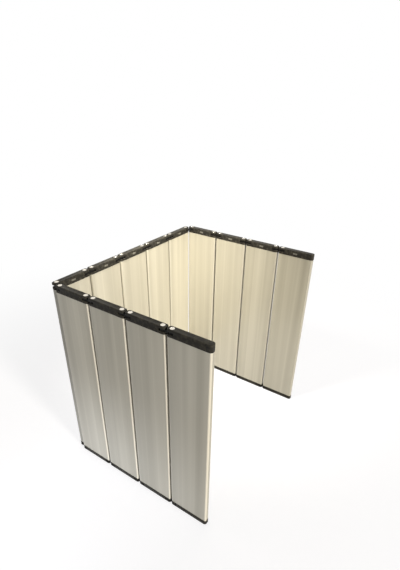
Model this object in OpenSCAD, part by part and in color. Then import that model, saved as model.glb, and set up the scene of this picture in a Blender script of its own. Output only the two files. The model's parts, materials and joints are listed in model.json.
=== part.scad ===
// Folding stove windscreen: a U of hollow aluminium panels that stand on edge.
// Each panel has a moulded cap on both ends. Links with two rivets join the caps of neighbouring panels.
// The origin is on the ground in the middle. X runs along the back wall and the open front faces -Y.

/* [Panels] */
// Distance from one panel to the next along a straight wall
panel_pitch = 75; // [72:1:90]
// Length of slat that shows between the caps
slat_h = 348; // [200:1:420]
// Thickness of a slat
slat_t = 10; // [9.5:0.1:10.2]
// Gap between neighbouring slats in a straight wall
slat_gap = 2.4; // [2.2:0.1:4]
// Radius of a slat's four long corners
slat_r = 3; // [2.5:0.1:3.2]
// Wall of the extrusion
slat_wall = 0.9; // [0.7:0.05:1.1]
// Thickness of the two webs inside a slat
web_t = 0.8; // [0.6:0.05:1.1]

/* [Caps] */
// Height of a top cap
top_cap_h = 12; // [11:0.1:16]
// Height of a bottom cap
bottom_cap_h = 9; // [8.5:0.1:14]
// How far a cap stands out past the slat all round
cap_lip = 0.6; // [0.4:0.05:0.8]
// Radius of a cap's corners in plan
cap_r = 4.6; // [4.5:0.05:4.9]
// Radius of a cap's outer edges
cap_edge_r = 1.2; // [0.6:0.1:1.5]
// Length of the prongs that hold a cap in its slat
prong_l = 10; // [6:1:20]
// Clearance of a prong in its cell
prong_gap = 0.15; // [0.1:0.05:0.3]

/* [Hinges] */
// Distance between the two rivets of a link
link_span = 16; // [16:0.1:18]
// Radius of a link's round ends
link_r = 4.6; // [4:0.1:4.6]
// Width of a link's waist
link_waist = 7; // [5:0.1:8]
// Thickness of a link
link_t = 4; // [3:0.1:4.4]
// Clearance above, below and behind a link in its fork
link_gap = 0.2; // [0.15:0.05:0.4]
// Radius of a rivet's shank
shank_r = 2; // [1.5:0.05:2.2]
// Radial clearance of a shank in the cap
shank_gap = 0.05; // [0.02:0.01:0.1]
// Radius of a rivet's head
head_r = 3.6; // [3:0.1:3.7]
// Thickness of a rivet's head
head_t = 1; // [0.8:0.05:1.2]
// Depth of the seat of a head in a top cap
top_seat = 1; // [0.8:0.05:1.2]
// Depth of the seat of a head in a bottom cap, where no rivet may touch the ground
bottom_seat = 1.3; // [1.25:0.05:1.5]

/* [Shape of the screen] */
// Direction of the link at the left corner, from the back wall's line
left_link_angle = 70; // [45:1:85]
// Direction of the link at the right corner, from the back wall's line
right_link_angle = 40; // [35:1:80]

/* [Hidden] */
$fn = 64;
cut = 0.5;
side_panels = 4;
back_panels = 5;
panels = 2 * side_panels + back_panels;
folds = panels - 1;
// folds after which the screen turns a corner
left_corner = side_panels;
right_corner = side_panels + back_panels;

// lengths along a panel, from its middle
slat_w = panel_pitch - slat_gap;
pivot_x = (panel_pitch - link_span) / 2;
cap_w = slat_w + 2 * cap_lip;
cap_t = slat_t + 2 * cap_lip;
fork_back = pivot_x - link_r - 2 * link_gap;

// the three cells of a slat
cells = 3;
cell_w = (slat_w - 2 * slat_wall - (cells - 1) * web_t) / cells;
cell_t = slat_t - 2 * slat_wall;
cell_r = slat_r - slat_wall;

// heights from the ground
slat_z = bottom_cap_h;
slat_top = slat_z + slat_h;

// rivet details
axial_gap = 0.1;
seat_gap = 0.2;
tail_r = 3;
tail_t = 0.9;
dimple_r = 1.7;
dimple_depth = 0.7;
head_edge_r = 0.5;

// oblong pad on the inner face of a top cap
pad_w = 9;
pad_h = 3;
pad_r = 1.4;
pad_proud = 0.35;

// groove that sets off the closed block at a free end
block_w = 9;
groove_w = 0.7;
groove_depth = 0.4;

aluminium = "#cfc9b8";
black_nylon = "#2d2d2b";
rivet_steel = "#e4e4e0";

function two_digits(k) = k < 10 ? str("0", k) : str(k);
function name(piece, k) = str(piece, "_", two_digits(k));

// The screen is walked from the front of the left wall, along the back, to the front of the right wall.
function panel_heading(k) = k <= left_corner ? 90 : k <= right_corner ? 0 : -90;
function link_heading(k) =
    k == left_corner ? left_link_angle : k == right_corner ? -right_link_angle : panel_heading(k);
function along(heading, distance) = distance * [cos(heading), sin(heading)];
function first_pivot(k) = k == 1 ? [0, 0] : last_pivot(k - 1) + along(link_heading(k - 1), link_span);
function last_pivot(k) = first_pivot(k) + along(panel_heading(k), 2 * pivot_x);

// middle of the screen's outline in plan
free_end = cap_w / 2 - pivot_x;
front_y = min(first_pivot(1).y, last_pivot(panels).y) - free_end;
back_y = first_pivot(left_corner + 1).y + cap_t / 2;
middle = [(first_pivot(1).x + last_pivot(panels).x) / 2, (front_y + back_y) / 2];

// Puts a panel's own frame in its place: X along the panel, +Y to the outside of the screen.
module on_panel(k) {
    place = (first_pivot(k) + last_pivot(k)) / 2 - middle;
    translate([place.x, place.y, 0]) rotate(panel_heading(k)) children();
}

// Puts a link's own frame in its place: X from the previous panel's rivet to the next panel's.
module on_link(k) {
    place = last_pivot(k) - middle;
    translate([place.x, place.y, 0]) rotate(link_heading(k)) children();
}

// Stands a cap, a link or a rivet on the top of the slat, and its mirror image under the slat.
module at_top() {
    translate([0, 0, slat_top]) children();
}

module at_bottom() {
    translate([0, 0, slat_z]) mirror([0, 0, 1]) children();
}

module rounded_rectangle(w, t, r) {
    square([w - 2 * r, t], center = true);
    square([w, t - 2 * r], center = true);
    for (x = [-1, 1], y = [-1, 1]) translate([x * (w / 2 - r), y * (t / 2 - r)]) circle(r);
}

// Side view of a block that stands on y = 0 with its two upper corners rounded
module rounded_top(w, h, r) {
    translate([-w / 2, 0]) square([w, h - r]);
    translate([r - w / 2, 0]) square([w - 2 * r, h]);
    for (x = [-1, 1]) translate([x * (w / 2 - r), h - r]) circle(r);
}

module slat_section() {
    difference() {
        rounded_rectangle(slat_w, slat_t, slat_r);
        intersection() {
            rounded_rectangle(slat_w - 2 * slat_wall, cell_t, cell_r);
            for (i = [0:cells - 1]) {
                translate([(i - (cells - 1) / 2) * (cell_w + web_t), 0]) square([cell_w, slat_t], center = true);
            }
        }
    }
}

// Outside of a cap: its plan, cut by its two side views
module cap_block(h) {
    intersection() {
        linear_extrude(h) rounded_rectangle(cap_w, cap_t, cap_r);
        translate([-cap_w / 2, 0, 0]) rotate([90, 0, 90]) {
            linear_extrude(cap_w) rounded_top(cap_t, h, cap_edge_r);
        }
        translate([0, cap_t / 2, 0]) rotate([90, 0, 0]) {
            linear_extrude(cap_t) rounded_top(cap_w, h, cap_edge_r);
        }
    }
}

module prongs() {
    prong_t = cell_t - 2 * prong_gap;
    side_start = cell_w / 2 + web_t + prong_gap;
    side_l = fork_back - side_start;
    translate([0, 0, -prong_l]) linear_extrude(prong_l) {
        square([cell_w - 2 * prong_gap, prong_t], center = true);
        for (x = [-1, 1]) translate([x * (side_start + side_l / 2), 0]) square([side_l, prong_t], center = true);
    }
}

// Room for a link and its rivet at a hinge end; side is 1 for the panel's last pivot and -1 for its first.
module fork_cut(h, seat, side) {
    fork_h = link_t + 2 * link_gap;
    fork_l = cap_w / 2 - fork_back + cut;
    translate([side * (fork_back + fork_l / 2), 0, h / 2]) cube([fork_l, cap_t + 2 * cut, fork_h], center = true);
    translate([side * pivot_x, 0, -cut]) cylinder(h = h + 2 * cut, r = shank_r + shank_gap);
    translate([side * pivot_x, 0, h - seat]) cylinder(h = seat + cut, r = head_r + seat_gap);
}

module free_end_groove(h, side) {
    inner_t = cap_t - 2 * groove_depth;
    translate([side * (cap_w / 2 - block_w), 0, 0]) difference() {
        translate([-groove_w / 2, -cap_t, -cut]) cube([groove_w, 2 * cap_t, h + 2 * cut]);
        translate([-groove_w, -inner_t / 2, -2 * cut]) cube([2 * groove_w, inner_t, h + 2 * cut - groove_depth]);
    }
}

module cap(k, h, seat) {
    difference() {
        union() {
            cap_block(h);
            prongs();
        }
        for (side = [-1, 1]) {
            hinged = side > 0 ? k < panels : k > 1;
            if (hinged) fork_cut(h, seat, side);
            else free_end_groove(h, side);
        }
    }
}

module inner_pad() {
    translate([0, cut - cap_t / 2, top_cap_h / 2]) rotate([90, 0, 0]) {
        linear_extrude(cut + pad_proud) rounded_rectangle(pad_w, pad_h, pad_r);
    }
}

module link_plate(h) {
    translate([0, 0, (h - link_t) / 2]) linear_extrude(link_t) difference() {
        union() {
            for (x = [0, link_span]) translate([x, 0]) circle(link_r);
            translate([0, -link_waist / 2]) square([link_span, link_waist]);
        }
        for (x = [0, link_span]) translate([x, 0]) circle(shank_r);
    }
}

module rivet(h, seat) {
    head_z = h - seat + axial_gap;
    difference() {
        union() {
            translate([0, 0, -axial_gap - tail_t]) cylinder(h = tail_t, r = tail_r);
            translate([0, 0, -axial_gap - tail_t]) cylinder(h = head_z + axial_gap + tail_t, r = shank_r);
            translate([0, 0, head_z]) rotate_extrude() {
                square([head_r, head_t - head_edge_r]);
                square([head_r - head_edge_r, head_t]);
                translate([head_r - head_edge_r, head_t - head_edge_r]) circle(head_edge_r);
            }
        }
        translate([0, 0, head_z + head_t - dimple_depth]) cylinder(h = dimple_depth + cut, r = dimple_r);
    }
}

module slat(k) {
    color(aluminium) on_panel(k) translate([0, 0, slat_z]) linear_extrude(slat_h) slat_section();
}

module end_caps(k) {
    color(black_nylon) on_panel(k) {
        at_top() {
            cap(k, top_cap_h, top_seat);
            inner_pad();
        }
        at_bottom() cap(k, bottom_cap_h, bottom_seat);
    }
}

module hinge_links(k) {
    color(black_nylon) on_link(k) {
        at_top() link_plate(top_cap_h);
        at_bottom() link_plate(bottom_cap_h);
    }
}

module rivets(k) {
    color(rivet_steel) on_link(k) for (x = [0, link_span]) translate([x, 0, 0]) {
        at_top() rivet(top_cap_h, top_seat);
        at_bottom() rivet(bottom_cap_h, bottom_seat);
    }
}

for (k = [1:panels]) {
    slat(k);
    end_caps(k);
}
for (k = [1:folds]) {
    hinge_links(k);
    rivets(k);
}
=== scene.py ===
# %% [markdown]
# # A folding windscreen
# Thirteen hollow aluminium slats stand on edge in a U that is open to the front. A black cap
# closes each end of a slat, and small links with two rivets join the caps of neighbours at the
# top and at the bottom. The engineering model is loaded first and stays as it is. It says where
# each slat, link and pivot is, and every piece below is made in its own small frame and set down
# there, so nothing is fitted by eye.

# %% Load the engineering model
import json
import math
import bmesh
import bpy
from mathutils import Matrix, Vector


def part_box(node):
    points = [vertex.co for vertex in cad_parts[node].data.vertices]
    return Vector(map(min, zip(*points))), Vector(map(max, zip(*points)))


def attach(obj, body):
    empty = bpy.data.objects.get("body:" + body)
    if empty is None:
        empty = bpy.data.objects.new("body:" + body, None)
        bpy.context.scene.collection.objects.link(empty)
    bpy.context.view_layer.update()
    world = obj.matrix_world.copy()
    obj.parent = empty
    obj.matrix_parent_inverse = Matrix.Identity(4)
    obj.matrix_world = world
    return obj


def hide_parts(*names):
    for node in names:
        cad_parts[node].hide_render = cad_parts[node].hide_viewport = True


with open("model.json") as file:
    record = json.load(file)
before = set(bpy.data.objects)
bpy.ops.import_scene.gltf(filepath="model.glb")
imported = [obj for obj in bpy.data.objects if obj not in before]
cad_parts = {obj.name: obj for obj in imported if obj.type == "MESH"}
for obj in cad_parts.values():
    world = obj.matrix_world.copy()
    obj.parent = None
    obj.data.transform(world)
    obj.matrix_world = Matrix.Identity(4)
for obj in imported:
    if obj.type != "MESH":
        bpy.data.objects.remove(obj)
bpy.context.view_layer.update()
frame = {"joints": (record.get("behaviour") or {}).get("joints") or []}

mm = 0.001

# %% [markdown]
# ## The camera
# The photograph was taken from above the front of the left wall, with a wide phone lens. A camera
# that is placed by eye never lines up, so its place and lens were worked out from the rivets,
# whose spacing is known. The lens is written as its focal length in the photograph's pixels, and
# the point that it aims at as a pixel too.

# %% Set up the camera
PHOTO_W, PHOTO_H = 400, 570
FOCAL_PX = 398.5
AIM_PX = (206.2, 310.9)
CAMERA_PLACE = Vector((-0.5459, -0.3682, 0.6518))
CAMERA_TURN, CAMERA_DIP, CAMERA_ROLL = (math.radians(a) for a in (57.71, 29.46, 1.55))
SENSOR_W, NEAREST = 36, 0.01


def new_object(name, data):
    """An object in the scene that shows this data."""
    made = bpy.data.objects.new(name, data)
    bpy.context.scene.collection.objects.link(made)
    return made


camera = new_object("camera", bpy.data.cameras.new("camera"))
bpy.context.scene.camera = camera
long_side = max(PHOTO_W, PHOTO_H)
camera.data.sensor_width = SENSOR_W
camera.data.lens = SENSOR_W * FOCAL_PX / long_side
camera.data.shift_x = (PHOTO_W / 2 - AIM_PX[0]) / long_side
camera.data.shift_y = (AIM_PX[1] - PHOTO_H / 2) / long_side
camera.data.clip_start = NEAREST
looks = Vector((math.sin(CAMERA_TURN) * math.cos(CAMERA_DIP),
                math.cos(CAMERA_TURN) * math.cos(CAMERA_DIP),
                -math.sin(CAMERA_DIP)))
camera.matrix_world = (Matrix.Translation(CAMERA_PLACE)
                       @ looks.to_track_quat("-Z", "Y").to_matrix().to_4x4()
                       @ Matrix.Rotation(CAMERA_ROLL, 4, "Z"))
print("camera lens", round(camera.data.lens, 1), "mm")

# %% [markdown]
# ## Colour
# Colours are picked on a screen, so they are written as sRGB hex values. Shaders add up light,
# which needs linear values, and one function turns the first into the second.

# %% From a screen colour to a linear one
def colour(hex_value):
    """A linear RGBA colour from an sRGB hex value."""
    parts = [int(hex_value[i:i + 2], 16) / 255 for i in (1, 3, 5)]
    linear = (c / 12.92 if c <= 0.04045 else ((c + 0.055) / 1.055) ** 2.4 for c in parts)
    return (*linear, 1.0)


print("a mid grey is", round(colour("#808080")[0], 3), "in linear light")

# %% [markdown]
# ## Lamps
# One lamp can't light both the outside and the inside of a U, so there are four soft ones. The
# main one is a sun lamp with a wide angle, low in front and a little to the left: it fills the
# inside, draws the bright lines on the round edges of the slats and leaves the outside of the
# left wall in half shade. A weaker and much wider one stands behind, so that the outside is not
# dark from there. A softbox above the left wall lights the right wall, and a low, cooler one lifts
# the foot of the left wall, as light from pale ground does. A grid keeps the light of a softbox
# within an angle, off the other walls.

# %% Set up the lamps
WARM, COOL = colour("#FFF5E2")[:3], colour("#ECF1FF")[:3]


def lamp(name, kind, towards, place=(0, 0, 0), tint=WARM):
    """A lamp that shines against the direction towards."""
    made = new_object(name, bpy.data.lights.new(name, kind))
    made.rotation_mode = "QUATERNION"
    made.rotation_quaternion = towards.to_track_quat("Z", "Y")
    made.location = place
    made.data.color = tint
    return made


def sun(name, azimuth, height, strength, spread):
    """A sun lamp. Azimuth 0 is in front and 90 on the left, and its angles are in degrees."""
    a, h = math.radians(azimuth), math.radians(height)
    towards = Vector((-math.sin(a) * math.cos(h), -math.cos(a) * math.cos(h), math.sin(h)))
    made = lamp(name, "SUN", towards)
    made.data.energy, made.data.angle = strength, math.radians(spread)


def softbox(name, place, aim, size, power, grid, tint):
    """A soft lamp that looks at a point, with the angle of its grid in degrees."""
    place = Vector(place)
    made = lamp(name, "AREA", place - Vector(aim), place, tint)
    made.data.shape = "RECTANGLE"
    made.data.size, made.data.size_y = size
    made.data.energy, made.data.spread = power, math.radians(grid)
    made.visible_camera = False


sun("main_lamp", azimuth=11, height=13, strength=3.75, spread=10)
sun("back_lamp", azimuth=210, height=40, strength=1.2, spread=90)
softbox("right_wall_softbox", place=(-0.13, 0.08, 0.66), aim=(0.19, 0.07, 0.15),
        size=(0.10, 0.10), power=0.82, grid=75, tint=WARM)
softbox("low_softbox", place=(-0.75, 0.12, 0.07), aim=(-0.19, 0.06, 0.01),
        size=(0.30, 0.06), power=0.15, grid=45, tint=COOL)

# %% [markdown]
# ## A white world and floor
# The object stands on a pale paper sweep in front of white. Lamps that make paper white would
# bleach the object too, so the world and the floor only show as white: the Light Path node tells
# the rays that are looked along from the light that falls on things. Both are built from nodes.
# One small function adds a node, sets it and links it, so that a material reads as a list of what
# it is made of.

# %% World
WORLD_LIGHT = 0.14


def add(tree, kind, inputs=None, **settings):
    """Adds a node with its settings. An input is a value, or the socket that feeds it."""
    made = tree.nodes.new(kind)
    for name, value in settings.items():
        setattr(made, name, value)
    for name, value in (inputs or {}).items():
        if isinstance(value, bpy.types.NodeSocket):
            tree.links.new(value, made.inputs[name])
        else:
            made.inputs[name].default_value = value
    return made


def new_tree(owner):
    """An empty node tree on a material or the world."""
    owner.use_nodes = True
    owner.node_tree.nodes.clear()
    return owner.node_tree


def seen_directly(tree):
    """1 for rays from the camera, a reflection or glass, and 0 for the light on things."""
    path = add(tree, "ShaderNodeLightPath").outputs
    mirror = add(tree, "ShaderNodeMath", {0: path["Is Camera Ray"], 1: path["Is Glossy Ray"]},
                 operation="MAXIMUM").outputs[0]
    return add(tree, "ShaderNodeMath", {0: mirror, 1: path["Is Transmission Ray"]},
               operation="MAXIMUM").outputs[0]


world = bpy.data.worlds.new("studio")
bpy.context.scene.world = world
tree = new_tree(world)
falls = add(tree, "ShaderNodeBackground", {"Color": colour("#F8F7F4"), "Strength": WORLD_LIGHT})
shows = add(tree, "ShaderNodeBackground", {"Color": colour("#FFFFFF"), "Strength": 1.0})
mixed = add(tree, "ShaderNodeMixShader",
            {0: seen_directly(tree), 1: falls.outputs[0], 2: shows.outputs[0]})
add(tree, "ShaderNodeOutputWorld", {"Surface": mixed.outputs[0]})
bpy.context.scene.view_settings.view_transform = "Standard"
print("the world lights the object with", WORLD_LIGHT)

# %% Floor
# Near the object the paper shows its white and what light falls on it, so a shadow stays.
# Further out it is white.
FLOOR_SIZE, FLOOR_DROP = 12.0, 0.3 * mm
FLOOR_SHOWS = 0.75
SHADOW_REACH = (0.35, 1.1)

floor_shape = bmesh.new()
bmesh.ops.create_grid(floor_shape, x_segments=1, y_segments=1, size=FLOOR_SIZE / 2)
floor_mesh = bpy.data.meshes.new("floor")
floor_shape.to_mesh(floor_mesh)
floor_shape.free()
floor = new_object("floor", floor_mesh)
floor.location.z = -FLOOR_DROP

paper = bpy.data.materials.new("matt_white_paper_sweep")
tree = new_tree(paper)
seen = seen_directly(tree)
matt = add(tree, "ShaderNodeBsdfDiffuse", {"Color": colour("#A0A2AC")})
glow = add(tree, "ShaderNodeMath", {0: seen, 1: FLOOR_SHOWS}, operation="MULTIPLY").outputs[0]
pale = add(tree, "ShaderNodeEmission", {"Color": colour("#FFFFFF"), "Strength": glow})
near = add(tree, "ShaderNodeAddShader", {0: matt.outputs[0], 1: pale.outputs[0]})
white = add(tree, "ShaderNodeEmission", {"Color": colour("#FFFFFF"), "Strength": 1.0})
spot = add(tree, "ShaderNodeTexCoord").outputs["Object"]
away = add(tree, "ShaderNodeVectorMath", {0: spot}, operation="LENGTH").outputs["Value"]
fade = add(tree, "ShaderNodeMapRange",
           {"Value": away, "From Min": SHADOW_REACH[0], "From Max": SHADOW_REACH[1]},
           interpolation_type="SMOOTHSTEP").outputs[0]
share = add(tree, "ShaderNodeMath", {0: seen, 1: fade}, operation="MULTIPLY").outputs[0]
mixed = add(tree, "ShaderNodeMixShader", {0: share, 1: near.outputs[0], 2: white.outputs[0]})
add(tree, "ShaderNodeOutputMaterial", {"Surface": mixed.outputs[0]})
floor_mesh.materials.append(paper)
print("a floor of", FLOOR_SIZE, "m")

# %% [markdown]
# ## Anodised aluminium
# The slats are extruded through a die, etched and clear anodised. The die leaves fine straight
# lines along the slat, the etch makes the metal satin, and the two webs behind a face show as
# faint bands, because metal there cools more slowly. Flat noise would look like stains, so the
# noise is stretched along the slat, which makes lines of it. Each slat gets its own, from a number
# that Blender draws from the object's name.

# %% Die lines, bands and webs
DIE_LINE = 1.6 * mm        # really about 0.3 mm, drawn coarser so that a render can show it
SOFT_BAND = 17 * mm        # slow change of tone across a face
LINE_LENGTH = 900 * mm
WEB_PLACE, WEB_SHADE, WEB_TONE = 11.9 * mm, 2.4 * mm, 0.10
LINE_SHARE, BAND_SHARE = 0.25, 0.9
TONE_FROM, TONE_TO = 0.38, 0.82
SLAT_SEEDS = 40.0


def new_material(name):
    """A material with one Principled shader, and its tree."""
    made = bpy.data.materials.new(name)
    tree = new_tree(made)
    shader = add(tree, "ShaderNodeBsdfPrincipled")
    add(tree, "ShaderNodeOutputMaterial", {"Surface": shader.outputs[0]})
    return made, tree, shader


def die_marks(tree, place, seed, width, detail):
    """Marks of this width that run along the slat."""
    squeezed = add(tree, "ShaderNodeVectorMath",
                   {0: place, 1: (1 / width, 1 / width, 1 / LINE_LENGTH)}, operation="MULTIPLY")
    return add(tree, "ShaderNodeTexNoise",
               {"Vector": squeezed.outputs[0], "W": seed, "Scale": 1.0, "Detail": detail,
                "Roughness": 0.6}, noise_dimensions="4D").outputs["Fac"]


aluminium, tree, shader = new_material("extruded_satin_anodised_aluminium")
place = add(tree, "ShaderNodeTexCoord").outputs["Object"]
own = add(tree, "ShaderNodeObjectInfo").outputs["Random"]
seed = add(tree, "ShaderNodeMath", {0: own, 1: SLAT_SEEDS}, operation="MULTIPLY").outputs[0]
lines = die_marks(tree, place, seed, DIE_LINE, detail=2.0)
bands = die_marks(tree, place, seed, SOFT_BAND, detail=1.0)
across, through, _ = add(tree, "ShaderNodeSeparateXYZ", {0: place}).outputs
side = add(tree, "ShaderNodeMath", {0: across}, operation="ABSOLUTE").outputs[0]
off_web = add(tree, "ShaderNodeMath", {0: side, 1: WEB_PLACE}, operation="SUBTRACT").outputs[0]
near_web = add(tree, "ShaderNodeMath", {0: off_web}, operation="ABSOLUTE").outputs[0]
web = add(tree, "ShaderNodeMapRange",
          {"Value": near_web, "From Min": 0.0, "From Max": WEB_SHADE,
           "To Min": WEB_TONE, "To Max": 0.0}, interpolation_type="SMOOTHSTEP").outputs[0]
tone = add(tree, "ShaderNodeMath", {0: lines, 1: LINE_SHARE, 2: web},
           operation="MULTIPLY_ADD").outputs[0]
tone = add(tree, "ShaderNodeMath", {0: bands, 1: BAND_SHARE, 2: tone},
           operation="MULTIPLY_ADD").outputs[0]
tint = add(tree, "ShaderNodeMapRange",
           {"Value": tone, "From Min": TONE_FROM, "From Max": TONE_TO}).outputs[0]
metal = add(tree, "ShaderNodeMix",
            {"Factor": tint, "A": colour("#B2AFA2"), "B": colour("#CCC9BC")}, data_type="RGBA")
print("die lines are drawn", round(DIE_LINE / mm, 1), "mm wide")

# %% [markdown]
# The outer round edges are painted paler, a painted highlight where light catches them, and the
# narrow sides between the panels are painted darker, a painted shade. Both could be painted on as
# an image, but they follow the section, so the place across and through the slat finds them on all
# thirteen. The oxide scatters part of the light, so the shader is a metal with a large matt share.

# %% Painted highlight on the edges, painted shade between the panels, and satin
ROUND_FROM, ROUND_TO = 33.0 * mm, 34.6 * mm    # across the slat, from its middle
GAP_FROM, GAP_TO = 2.0 * mm, 2.8 * mm          # through the slat, from its middle
MIDDLE_FROM, MIDDLE_TO = 0.3, 0.7              # where most values of a noise lie
SATIN_FROM, SATIN_TO = 0.28, 0.38
LINE_DEPTH, LINE_RELIEF = 0.02 * mm, 0.25
METAL_SHARE, BRUSHED = 0.2, 0.4

depth = add(tree, "ShaderNodeMath", {0: through}, operation="ABSOLUTE").outputs[0]
at_edge = add(tree, "ShaderNodeMapRange",
              {"Value": side, "From Min": ROUND_FROM, "From Max": ROUND_TO}).outputs[0]
outside = add(tree, "ShaderNodeMapRange",
              {"Value": through, "From Min": GAP_FROM, "From Max": GAP_TO}).outputs[0]
# Painted highlight: the outer round edges of every slat get a paler colour.
wear_and_painted_highlight = add(tree, "ShaderNodeMath", {0: at_edge, 1: outside}, operation="MULTIPLY").outputs[0]
metal = add(tree, "ShaderNodeMix",
            {"Factor": wear_and_painted_highlight, "A": metal.outputs["Result"], "B": colour("#E4E0D3")},
            data_type="RGBA")
in_gap = add(tree, "ShaderNodeMapRange",
             {"Value": depth, "From Min": GAP_FROM, "From Max": GAP_TO,
              "To Min": 1.0, "To Max": 0.0}).outputs[0]
# Painted shade: the narrow sides between the panels get a darker colour.
painted_shade_in_gaps = add(tree, "ShaderNodeMath", {0: at_edge, 1: in_gap}, operation="MULTIPLY").outputs[0]
metal = add(tree, "ShaderNodeMix",
            {"Factor": painted_shade_in_gaps, "A": metal.outputs["Result"], "B": colour("#ACA99C")},
            data_type="RGBA")
satin = add(tree, "ShaderNodeMapRange",
            {"Value": lines, "From Min": MIDDLE_FROM, "From Max": MIDDLE_TO,
             "To Min": SATIN_FROM, "To Max": SATIN_TO}).outputs[0]
relief = add(tree, "ShaderNodeBump",
             {"Height": lines, "Strength": LINE_RELIEF, "Distance": LINE_DEPTH})
tree.links.new(metal.outputs["Result"], shader.inputs["Base Color"])
tree.links.new(satin, shader.inputs["Roughness"])
tree.links.new(relief.outputs[0], shader.inputs["Normal"])
shader.inputs["Metallic"].default_value = METAL_SHARE
shader.inputs["Anisotropic"].default_value = BRUSHED
print("made", aluminium.name)

# %% [markdown]
# ## Black nylon
# The caps are moulded in a tool with a fine eroded grain, so they are black, dull and a little
# grey where hands and tables rub them. The oblong on the inner side of a top cap is polished in
# the tool, and its lighter grey is a painted glint, so it shows as a pale fleck. The links come
# from a plain tool. A flat black would look like a hole in the picture, so one function makes all
# three, each with its own grain, rubbed patches and gloss.

# %% Nylon for the caps, their pads and the links
GRAIN = 0.55 * mm          # really about 0.15 mm, drawn coarser so that a render can show it
GRAIN_RELIEF = 0.6
SMEAR = 6 * mm
SMEAR_FROM, SMEAR_TO = 0.45, 0.75
NYLON_IOR, NYLON_SHINE = 1.53, 0.09


def moulded_nylon(name, dark, worn_and_glint, gloss, grain_depth):
    """Black nylon: gloss is its lowest and highest roughness."""
    made, tree, shader = new_material(name)
    place = add(tree, "ShaderNodeTexCoord").outputs["Object"]
    grain = add(tree, "ShaderNodeTexNoise",
                {"Vector": place, "Scale": 1 / GRAIN, "Detail": 2.0}).outputs["Fac"]
    smear = add(tree, "ShaderNodeTexNoise",
                {"Vector": place, "Scale": 1 / SMEAR, "Detail": 4.0}).outputs["Fac"]
    wear_and_painted_highlight = add(tree, "ShaderNodeMapRange",
                 {"Value": smear, "From Min": SMEAR_FROM, "From Max": SMEAR_TO}).outputs[0]
    black = add(tree, "ShaderNodeMix",
                {"Factor": wear_and_painted_highlight, "A": colour(dark), "B": colour(worn_and_glint)}, data_type="RGBA")
    dull = add(tree, "ShaderNodeMapRange",
               {"Value": smear, "From Min": MIDDLE_FROM, "From Max": MIDDLE_TO,
                "To Min": gloss[0], "To Max": gloss[1]}).outputs[0]
    relief = add(tree, "ShaderNodeBump",
                 {"Height": grain, "Strength": GRAIN_RELIEF, "Distance": grain_depth})
    tree.links.new(black.outputs["Result"], shader.inputs["Base Color"])
    tree.links.new(dull, shader.inputs["Roughness"])
    tree.links.new(relief.outputs[0], shader.inputs["Normal"])
    shader.inputs["IOR"].default_value = NYLON_IOR
    shader.inputs["Specular IOR Level"].default_value = NYLON_SHINE
    return made


cap_nylon = moulded_nylon("grained_moulded_nylon", dark="#2B2A27", worn_and_glint="#4B4942",
                          gloss=(0.46, 0.62), grain_depth=0.05 * mm)
# The pale grey of the pad is a painted glint; the nylon itself is black.
pad_nylon_painted_glint = moulded_nylon("polished_nylon_painted_glint", dark="#6E6D68", worn_and_glint="#82817A",
                          gloss=(0.16, 0.26), grain_depth=0.01 * mm)
link_nylon = moulded_nylon("plain_moulded_nylon", dark="#181818", worn_and_glint="#242423",
                           gloss=(0.34, 0.46), grain_depth=0.02 * mm)
print("made", cap_nylon.name, pad_nylon_painted_glint.name, link_nylon.name)

# %% [markdown]
# ## Nickel plate
# The rivets are steel with bright nickel on it, slightly hazed by handling. They are the brightest
# spots of the object, because their flat heads look straight up. A metal gets its whole look from
# what it mirrors, so only its tint and the haze in its roughness are set.

# %% Nickel for the rivets
HAZE = 1.8 * mm
BRIGHT_FROM, BRIGHT_TO = 0.18, 0.34
nickel, tree, shader = new_material("bright_nickel_plated_steel")
place = add(tree, "ShaderNodeTexCoord").outputs["Object"]
haze = add(tree, "ShaderNodeTexNoise",
           {"Vector": place, "Scale": 1 / HAZE, "Detail": 3.0}).outputs["Fac"]
plating = add(tree, "ShaderNodeMix",
              {"Factor": haze, "A": colour("#B2AFA8"), "B": colour("#CBC8C1")}, data_type="RGBA")
hazed = add(tree, "ShaderNodeMapRange",
            {"Value": haze, "From Min": MIDDLE_FROM, "From Max": MIDDLE_TO,
             "To Min": BRIGHT_FROM, "To Max": BRIGHT_TO}).outputs[0]
tree.links.new(plating.outputs["Result"], shader.inputs["Base Color"])
tree.links.new(hazed, shader.inputs["Roughness"])
shader.inputs["Metallic"].default_value = 1.0
print("made", nickel.name)

# %% [markdown]
# ## Where the panels are
# Each panel has its own frame: X along the panel in walking order from the front of the left wall,
# and +Y to the outside. The frames and the outer sizes are read from the engineering model, so a
# change there moves everything here.

# %% Frames and sizes of the panels
SLATS = 13


def two(k):
    """A piece's number as names have it."""
    return f"{k:02d}"


def panel_frame(k):
    """The place of a panel on the ground, turned into its wall."""
    low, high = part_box(f"slat_{two(k)}")
    middle = (low + high) / 2
    across_back = high.x - low.x > high.y - low.y
    turn = 0 if across_back else 90 if middle.x < 0 else -90
    return (Matrix.Translation((middle.x, middle.y, 0))
            @ Matrix.Rotation(math.radians(turn), 4, "Z"))


slat_low, slat_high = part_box("slat_07")
SLAT_W, SLAT_T = slat_high.x - slat_low.x, slat_high.y - slat_low.y
SLAT_BOTTOM, SLAT_TOP = slat_low.z, slat_high.z
print("a slat is", [round(v / mm, 1) for v in (SLAT_W, SLAT_T, SLAT_TOP - SLAT_BOTTOM)], "mm")

# %% [markdown]
# ## Slats
# A slat is an extrusion: one section, pulled straight. The section has round long edges, which
# draw the bright lines between the panels, and two webs that leave three cells inside. A cube
# with a bevel would look the same from outside, but the real thing is a thin skin, so the section
# is drawn with its holes, with true arcs at its corners. A face with holes is awkward in a mesh.
# A flat curve with depth fills them by itself, and can soften its edges too.

# %% Outlines and plates
ARC_STEPS = 10


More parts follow.
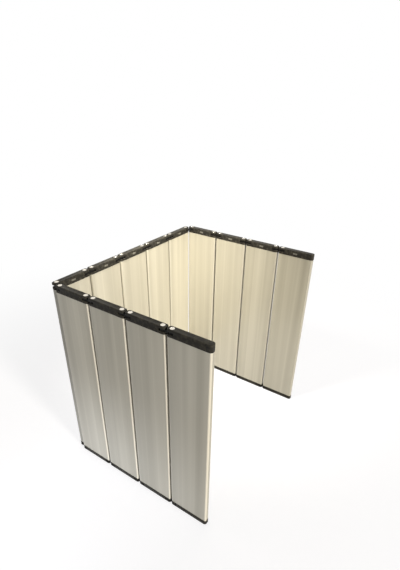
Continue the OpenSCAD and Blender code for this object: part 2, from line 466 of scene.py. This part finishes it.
def arc(centre, radius, start, end, steps=ARC_STEPS):
    """Points on an arc, with its angles in degrees."""
    turns = [math.radians(start + (end - start) * i / steps) for i in range(steps + 1)]
    return [(centre[0] + radius * math.cos(a), centre[1] + radius * math.sin(a)) for a in turns]


def rounded_box(w, t, r):
    """A rectangle with round corners, counter-clockwise."""
    x, y = w / 2 - r, t / 2 - r
    corners = ((x, y), (-x, y), (-x, -y), (x, -y))
    return [p for i, corner in enumerate(corners) for p in arc(corner, r, 90 * i, 90 * i + 90)]


def plate(outlines, depth, softened=0.0):
    """A filled plate with holes, from z = 0 up, as a mesh."""
    curve = bpy.data.curves.new("plate", "CURVE")
    curve.dimensions, curve.fill_mode = "2D", "BOTH"
    curve.extrude, curve.bevel_depth, curve.offset = depth / 2 - softened, softened, -softened
    curve.bevel_resolution = 2
    for outline in outlines:
        spline = curve.splines.new("POLY")
        spline.points.add(len(outline) - 1)
        for point, (x, y) in zip(spline.points, outline):
            point.co = (x, y, 0, 1)
        spline.use_cyclic_u = True
    holder = new_object("plate", curve)
    finished = holder.evaluated_get(bpy.context.evaluated_depsgraph_get())
    mesh = bpy.data.meshes.new_from_object(finished)
    bpy.data.objects.remove(holder)
    mesh.transform(Matrix.Translation((0, 0, depth / 2)))
    return mesh


print("a round corner has", ARC_STEPS, "steps")

# %% Gather parts and set pieces down
WELD = 0.5e-6
SMOOTH_TO = 35


def gathered(name, parts, smooth_to=SMOOTH_TO):
    """One mesh of several, each with its place, with smooth shading up to an angle."""
    made = bmesh.new()
    materials = []
    for mesh, place in parts:
        moved = mesh.copy()
        moved.transform(place)
        if place.determinant() < 0:
            moved.flip_normals()
        made.from_mesh(moved)
        # The lists begin alike, so the longest one holds all.
        materials = max(materials, list(mesh.materials), key=len)
    bmesh.ops.remove_doubles(made, verts=made.verts, dist=WELD)
    result = bpy.data.meshes.new(name)
    made.to_mesh(result)
    made.free()
    for material in materials:
        result.materials.append(material)
    result.shade_smooth()
    result.set_sharp_from_angle(angle=math.radians(smooth_to))
    return result


def put(name, mesh, place, body, node):
    """Sets a piece down in its place, on its body, instead of the engineering model's node."""
    piece = new_object(name, mesh)
    piece.matrix_world = place
    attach(piece, body)
    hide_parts(node)


print("edges stay smooth up to", SMOOTH_TO, "degrees")

# %% Extrude the slats
SLAT_EDGE, SLAT_SKIN, WEB_T, CELLS = 3 * mm, 0.9 * mm, 0.8 * mm, 3
cell_w = (SLAT_W - 2 * SLAT_SKIN - (CELLS - 1) * WEB_T) / CELLS
cell_t = SLAT_T - 2 * SLAT_SKIN
cell_step = cell_w + WEB_T
cell_edge = SLAT_EDGE - SLAT_SKIN
half_w, half_t = cell_w / 2, cell_t / 2
outer_cell = (arc((half_w - cell_edge, half_t - cell_edge), cell_edge, 90, 0)
              + arc((half_w - cell_edge, cell_edge - half_t), cell_edge, 0, -90)
              + [(-half_w, -half_t), (-half_w, half_t)])
middle_cell = [(-half_w, -half_t), (-half_w, half_t), (half_w, half_t), (half_w, -half_t)]
section = [rounded_box(SLAT_W, SLAT_T, SLAT_EDGE), middle_cell,
           [(x + cell_step, y) for x, y in outer_cell],
           [(-x - cell_step, y) for x, y in outer_cell]]
slat_mesh = plate(section, SLAT_TOP - SLAT_BOTTOM)
slat_mesh.materials.append(aluminium)
slat_mesh = gathered("slat", [(slat_mesh, Matrix.Translation((0, 0, SLAT_BOTTOM)))])
for k in range(1, SLATS + 1):
    put(f"anodised_slat_{two(k)}", slat_mesh, panel_frame(k), f"panel_{two(k)}",
        f"slat_{two(k)}")
print(SLATS, "slats of", len(slat_mesh.polygons), "faces")

# %% [markdown]
# ## Caps
# A cap is a moulded block with soft upper edges, and prongs that push into the cells of its slat.
# At a hinged end a slot leaves an upper and a lower ear for the link, with a bore and a seat for
# the rivet. At a free end the block is closed, behind a fine groove. Drawing all its faces one by
# one would be slow to change. So the block is a stack of outlines, each drawn in a little more
# than the one below, and what is cut from it is cut with Boolean modifiers, in the order in which
# a toolmaker would sink it. A last bevel breaks the sharp edges.

# %% Sizes of the caps
CAP_LIP, CAP_CORNER, CAP_EDGE, EDGE_STEPS = 0.6 * mm, 4.6 * mm, 1.2 * mm, 6
PRONG_L, PRONG_GAP = 10 * mm, 0.15 * mm
LINK_R, LINK_T, LINK_GAP = 4.6 * mm, 4 * mm, 0.2 * mm
SHANK_R, SHANK_GAP, HEAD_R, SEAT_GAP = 2 * mm, 0.05 * mm, 3.6 * mm, 0.2 * mm
TOP_SEAT, BOTTOM_SEAT = 1 * mm, 1.3 * mm
BLOCK_W, GROOVE_W, GROOVE_DEPTH = 9 * mm, 0.7 * mm, 0.4 * mm
PAD_W, PAD_H, PAD_R, PAD_PROUD = 9 * mm, 3 * mm, 1.4 * mm, 0.35 * mm
BROKEN_EDGE, SHARP_FROM = 0.2 * mm, 50
SPARE = 0.5 * mm           # how far a cut or a union reaches past the face that it meets


def pivot(name):
    """Where a joint turns, in plan."""
    point = next(j["pos_m"] for j in frame["joints"] if j["name"] == name)
    return Vector((point[0], point[1], 0))


caps_low, caps_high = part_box("end_caps_07")
TOP_CAP_H, BOTTOM_CAP_H = caps_high.z - SLAT_TOP, SLAT_BOTTOM - caps_low.z
PIVOT_X = (pivot("pivot_07a") - pivot("pivot_06b")).length / 2
cap_w, cap_t = SLAT_W + 2 * CAP_LIP, SLAT_T + 2 * CAP_LIP
fork_back = PIVOT_X - LINK_R - 2 * LINK_GAP
at_top = Matrix.Translation((0, 0, SLAT_TOP))
at_bottom = Matrix.Translation((0, 0, SLAT_BOTTOM)) @ Matrix.Scale(-1, 4, (0, 0, 1))
print("caps are", [round(h / mm, 1) for h in (TOP_CAP_H, BOTTOM_CAP_H)], "mm high")

# %% Blocks and cuts
CIRCLE_STEPS = 4 * ARC_STEPS


def circle(x, r):
    """A circle around a rivet's axis."""
    return arc((x, 0), r, 0, 360, CIRCLE_STEPS)[:-1]


def stack(levels):
    """A closed block through outlines at rising heights, all with the same number of points."""
    made = bmesh.new()
    rings = [[made.verts.new((x, y, z)) for x, y in outline] for outline, z in levels]
    for lower, upper in zip(rings, rings[1:]):
        for i in range(len(lower)):
            j = (i + 1) % len(lower)
            made.faces.new((lower[i], lower[j], upper[j], upper[i]))
    made.faces.new(reversed(rings[0]))
    made.faces.new(rings[-1])
    mesh = bpy.data.meshes.new("stack")
    made.to_mesh(mesh)
    made.free()
    return mesh


def box(x0, x1, y0, y1, z0, z1):
    """A plain block to cut with or to join on."""
    outline = [(x1, y1), (x0, y1), (x0, y0), (x1, y0)]
    return stack([(outline, z0), (outline, z1)])


def carved(block, steps):
    """A mesh after Boolean steps, each a way and its meshes, with its sharp edges broken."""
    work = new_object("work", block)
    tools = []
    for way, meshes in steps:
        tools.append(new_object("tool", gathered("tool", [(m, Matrix()) for m in meshes])))
        step = work.modifiers.new(way, "BOOLEAN")
        step.operation, step.solver, step.object = way, "EXACT", tools[-1]
        step.material_mode = "TRANSFER"
    broken = work.modifiers.new("edge", "BEVEL")
    broken.width, broken.segments, broken.limit_method = BROKEN_EDGE, 2, "ANGLE"
    broken.angle_limit = math.radians(SHARP_FROM)
    finished = work.evaluated_get(bpy.context.evaluated_depsgraph_get())
    mesh = bpy.data.meshes.new_from_object(finished)
    for holder in tools + [work]:
        bpy.data.objects.remove(holder)
    return mesh


print("a bore has", CIRCLE_STEPS, "steps")

# %% Parts of a cap
def cap_block(height):
    """The outside of a cap, which stands on z = 0."""
    levels = [(rounded_box(cap_w, cap_t, CAP_CORNER), 0.0)]
    for i in range(EDGE_STEPS + 1):
        a = math.pi / 2 * i / EDGE_STEPS
        drawn_in = CAP_EDGE * (1 - math.cos(a))
        outline = rounded_box(cap_w - 2 * drawn_in, cap_t - 2 * drawn_in, CAP_CORNER - drawn_in)
        levels.append((outline, height - CAP_EDGE + CAP_EDGE * math.sin(a)))
    block = stack(levels)
    block.materials.append(cap_nylon)
    return block


def cap_prongs():
    """Three prongs, one for each cell of the slat."""
    prong_t = cell_t / 2 - PRONG_GAP
    inner, outer = half_w + WEB_T + PRONG_GAP, fork_back
    spans = [(-half_w + PRONG_GAP, half_w - PRONG_GAP), (inner, outer), (-outer, -inner)]
    return [box(x0, x1, -prong_t, prong_t, -PRONG_L, SPARE) for x0, x1 in spans]


def cap_pad(height):
    """The polished oblong on the inner side, whose pale grey is a painted glint."""
    oblong = rounded_box(PAD_W, PAD_H, PAD_R)
    pad = stack([(oblong, 0.0), (oblong, PAD_PROUD + SPARE)])
    pad.transform(Matrix.Translation((0, SPARE - cap_t / 2, height / 2))
                  @ Matrix.Rotation(math.pi / 2, 4, "X"))
    pad.materials.append(pad_nylon_painted_glint)
    return pad


def hinge_cuts(side, height, seat):
    """The slot for the link, the rivet's bore and the seat of its head."""
    slot_h = LINK_T / 2 + LINK_GAP
    reach = sorted((side * fork_back, side * (cap_w / 2 + SPARE)))
    bore = circle(side * PIVOT_X, SHANK_R + SHANK_GAP)
    rim = circle(side * PIVOT_X, HEAD_R + SEAT_GAP)
    return (box(*reach, -cap_t, cap_t, height / 2 - slot_h, height / 2 + slot_h),
            stack([(bore, -SPARE), (bore, height + SPARE)]),
            stack([(rim, height - seat), (rim, height + SPARE)]))


def free_end_grooves(side, height):
    """A fine groove on both faces, where the closed end begins."""
    x0 = side * (cap_w / 2 - BLOCK_W) - GROOVE_W / 2
    inner = cap_t / 2 - GROOVE_DEPTH
    return [box(x0, x0 + GROOVE_W, *sorted((y * inner, y * cap_t)), -SPARE, height + SPARE)
            for y in (-1, 1)]


print("prongs reach", round(PRONG_L / mm, 1), "mm into a slat")

# %% Mould the caps
def cap(height, seat, hinged, pad):
    """A cap that stands on z = 0. hinged holds the sides, -1 and 1, that have a hinge."""
    steps = [("UNION", cap_prongs())]
    if pad:
        steps.append(("UNION", [cap_pad(height)]))
    steps += [("DIFFERENCE", cuts)
              for cuts in zip(*(hinge_cuts(side, height, seat) for side in hinged))]
    steps += [("DIFFERENCE", free_end_grooves(side, height))
              for side in (-1, 1) if side not in hinged]
    return carved(cap_block(height), steps)


for hinged, members in (((-1, 1), range(2, SLATS)), ((1,), [1]), ((-1,), [SLATS])):
    caps_mesh = gathered("caps", [(cap(TOP_CAP_H, TOP_SEAT, hinged, True), at_top),
                                  (cap(BOTTOM_CAP_H, BOTTOM_SEAT, hinged, False), at_bottom)])
    for k in members:
        put(f"moulded_caps_{two(k)}", caps_mesh, panel_frame(k), f"panel_{two(k)}",
            f"end_caps_{two(k)}")
    print("caps with", len(hinged), "hinged ends have", len(caps_mesh.polygons), "faces")

# %% [markdown]
# ## Links
# A link is a flat bone with a round end at each rivet and a narrower waist, so that two panels can
# fold back on each other. Two discs and a bar would leave seams where they meet, so it is one
# plate with two holes, and the curve softens its edges as the moulding tool does. Its frame
# starts at the rivet in the panel before it, and the next rivet gives its direction.

# %% Where the links are
FOLDS = SLATS - 1
LINK_SPAN = (pivot("pivot_07b") - pivot("pivot_07a")).length


def link_start(k):
    """The place of a link's first rivet."""
    return Matrix.Translation(pivot(f"pivot_{two(k)}a"))


def turned(mesh, k):
    """A copy in the direction of link k. Turning the mesh keeps the piece's own box tight."""
    span = pivot(f"pivot_{two(k)}b") - pivot(f"pivot_{two(k)}a")
    copy = mesh.copy()
    copy.transform(Matrix.Rotation(math.atan2(span.y, span.x), 4, "Z"))
    return copy


print("rivets of a link are", round(LINK_SPAN / mm, 1), "mm apart")

# %% Mould the links
WAIST, LINK_SOFT = 7 * mm, 0.3 * mm
neck = math.degrees(math.asin(WAIST / 2 / LINK_R))
bone = (arc((0, 0), LINK_R, neck, 360 - neck, CIRCLE_STEPS)
        + arc((LINK_SPAN, 0), LINK_R, neck - 180, 180 - neck, CIRCLE_STEPS))
link_mesh = plate([bone, circle(0, SHANK_R), circle(LINK_SPAN, SHANK_R)], LINK_T, LINK_SOFT)
link_mesh.materials.append(link_nylon)


def mid_height(cap_h):
    """Half way up a cap."""
    return Matrix.Translation((0, 0, (cap_h - LINK_T) / 2))


links_mesh = gathered("links", [(link_mesh, at_top @ mid_height(TOP_CAP_H)),
                                (link_mesh, at_bottom @ mid_height(BOTTOM_CAP_H))])
for k in range(1, FOLDS + 1):
    put(f"moulded_links_{two(k)}", turned(links_mesh, k), link_start(k), f"link_{two(k)}",
        f"hinge_links_{two(k)}")
print(FOLDS, "pairs of links of", len(links_mesh.polygons), "faces")

# %% [markdown]
# ## Rivets
# A rivet has a low head with a dish in it, a shank through both ears and the link, and a tail that
# is spread inside the slat. Three cylinders would lack the round rim and the dish that catch the
# light. All of it is round, so half its outline is drawn once and spun about its axis.

# %% Spin the rivets
HEAD_T, HEAD_ROUND, DISH_R, DISH_DEPTH = 1 * mm, 0.5 * mm, 1.9 * mm, 0.6 * mm
TAIL_R, TAIL_T, AXIAL_GAP = 3 * mm, 0.9 * mm, 0.1 * mm
RIM_STEPS, DISH_STEPS, SPIN_STEPS = 5, 5, 40
SPIN_WELD, RIVET_SMOOTH_TO = 1e-6, 50


def rivet(height, seat):
    """A rivet for a cap that stands on z = 0."""
    head = height - seat + AXIAL_GAP
    top = head + HEAD_T
    tail = -AXIAL_GAP - TAIL_T
    rim = arc((HEAD_R - HEAD_ROUND, top - HEAD_ROUND), HEAD_ROUND, 0, 90, RIM_STEPS)
    turns = [math.pi / 2 * i / DISH_STEPS for i in range(DISH_STEPS)]
    dish = [(DISH_R * math.cos(a), top - DISH_DEPTH * math.sin(a)) for a in turns]
    profile = [(0, tail), (TAIL_R, tail), (TAIL_R, -AXIAL_GAP), (SHANK_R, -AXIAL_GAP),
               (SHANK_R, head), (HEAD_R, head), *rim, *dish, (0, top - DISH_DEPTH)]
    made = bmesh.new()
    points = [made.verts.new((r, 0, z)) for r, z in profile]
    edges = [made.edges.new(pair) for pair in zip(points, points[1:])]
    bmesh.ops.spin(made, geom=points + edges, cent=(0, 0, 0), axis=(0, 0, 1),
                   angle=2 * math.pi, steps=SPIN_STEPS)
    bmesh.ops.remove_doubles(made, verts=made.verts, dist=SPIN_WELD)
    bmesh.ops.recalc_face_normals(made, faces=made.faces)
    mesh = bpy.data.meshes.new("rivet")
    made.to_mesh(mesh)
    made.free()
    mesh.materials.append(nickel)
    return mesh


places = [Matrix.Translation((x, 0, 0)) for x in (0, LINK_SPAN)]
rivets = ([(rivet(TOP_CAP_H, TOP_SEAT), at_top @ p) for p in places]
          + [(rivet(BOTTOM_CAP_H, BOTTOM_SEAT), at_bottom @ p) for p in places])
rivets_mesh = gathered("rivets", rivets, RIVET_SMOOTH_TO)
for k in range(1, FOLDS + 1):
    put(f"plated_rivets_{two(k)}", turned(rivets_mesh, k), link_start(k), f"link_{two(k)}",
        f"rivets_{two(k)}")
print(len(rivets) * FOLDS, "rivets")
